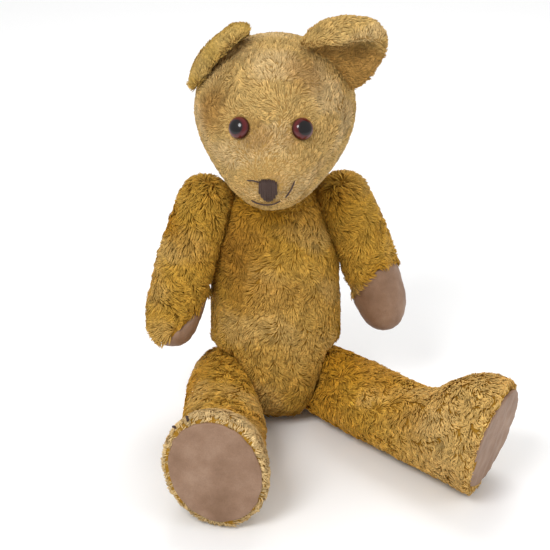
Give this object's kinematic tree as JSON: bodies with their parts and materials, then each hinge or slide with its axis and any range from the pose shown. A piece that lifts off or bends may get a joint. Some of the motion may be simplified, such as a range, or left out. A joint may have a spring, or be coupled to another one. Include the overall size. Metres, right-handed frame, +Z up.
{
  "type": "jointed teddy bear",
  "caption": "Seated jointed teddy bear in worn golden mohair plush, with glass eyes, stitched nose and mouth, leathercloth pads and cotter-pin joints at neck, shoulders and hips.",
  "frame": {"origin": "centre of the small flat under the torso that the bear sits on", "axes": "+Z up, the bear faces -Y, its left side is +X"},
  "size_m": [0.2651, 0.2374, 0.3216],
  "materials": {
    "golden_plush": "worn golden mohair pile",
    "faded_plush": "faded, matted mohair pile",
    "leathercloth": "matt coated cloth",
    "wood_wool": "packed wood shavings",
    "card": "plain",
    "hardboard": "pressed fibre",
    "steel": "plain",
    "eye_glass": "glossy, dark red with a black pupil",
    "thread": "dark brown embroidery thread"
  },
  "bodies": {
    "torso": {"body_skin": "golden_plush", "body_stuffing": "wood_wool", "neck_body_disc": "hardboard", "neck_body_washer": "steel", "left_shoulder_body_disc": "hardboard", "left_shoulder_body_washer": "steel", "right_shoulder_body_disc": "hardboard", "right_shoulder_body_washer": "steel", "left_hip_body_disc": "hardboard", "left_hip_body_washer": "steel", "right_hip_body_disc": "hardboard", "right_hip_body_washer": "steel"},
    "head": {"head_skin": "faded_plush", "head_stuffing": "wood_wool", "left_ear": "faded_plush", "right_ear": "faded_plush", "left_eye_glass": "eye_glass", "right_eye_glass": "eye_glass", "left_eye_wire": "steel", "right_eye_wire": "steel", "nose_stitching": "thread", "mouth_stitch": "thread", "neck_head_disc": "hardboard", "neck_head_washer": "steel", "neck_cotter_pin": "steel"},
    "left_arm": {"left_arm_skin": "golden_plush", "left_arm_stuffing": "wood_wool", "left_paw_pad": "leathercloth", "left_shoulder_arm_disc": "hardboard", "left_shoulder_arm_washer": "steel", "left_shoulder_cotter_pin": "steel"},
    "left_leg": {"left_leg_skin": "golden_plush", "left_leg_stuffing": "wood_wool", "left_foot_pad": "leathercloth", "left_insole": "card", "left_hip_leg_disc": "hardboard", "left_hip_leg_washer": "steel", "left_hip_cotter_pin": "steel"},
    "right_arm": {"right_arm_skin": "golden_plush", "right_arm_stuffing": "wood_wool", "right_paw_pad": "leathercloth", "right_shoulder_arm_disc": "hardboard", "right_shoulder_arm_washer": "steel", "right_shoulder_cotter_pin": "steel"},
    "right_leg": {"right_leg_skin": "golden_plush", "right_leg_stuffing": "wood_wool", "right_foot_pad": "leathercloth", "right_insole": "card", "right_claw_stitch_1": "thread", "right_claw_stitch_2": "thread", "right_hip_leg_disc": "hardboard", "right_hip_leg_washer": "steel", "right_hip_cotter_pin": "steel"}
  },
  "joints": [
    {"name": "neck", "type": "hinge", "parent": "torso", "child": "head", "pos_m": [0, 0.014, 0.1868], "axis": [0, -0.1564, 0.9877], "range_deg": [-180, 180]},
    {"name": "left_shoulder", "type": "hinge", "parent": "torso", "child": "left_arm", "pos_m": [0.0385, 0.012, 0.1585], "axis": [-0.9375, 0.0985, -0.3338], "range_deg": [-110, 85]},
    {"name": "right_shoulder", "type": "hinge", "parent": "torso", "child": "right_arm", "pos_m": [-0.0385, 0.012, 0.1585], "axis": [-0.9375, -0.0985, 0.3338], "range_deg": [-110, 85]},
    {"name": "left_hip", "type": "hinge", "parent": "torso", "child": "left_leg", "pos_m": [0.024, -0.017, 0.0335], "axis": [0.8937, 0.3253, -0.309], "range_deg": [-12, 76]},
    {"name": "right_hip", "type": "hinge", "parent": "torso", "child": "right_leg", "pos_m": [-0.024, -0.01, 0.0335], "axis": [0.9418, 0.1324, 0.309], "range_deg": [-12, 76]}
  ]
}
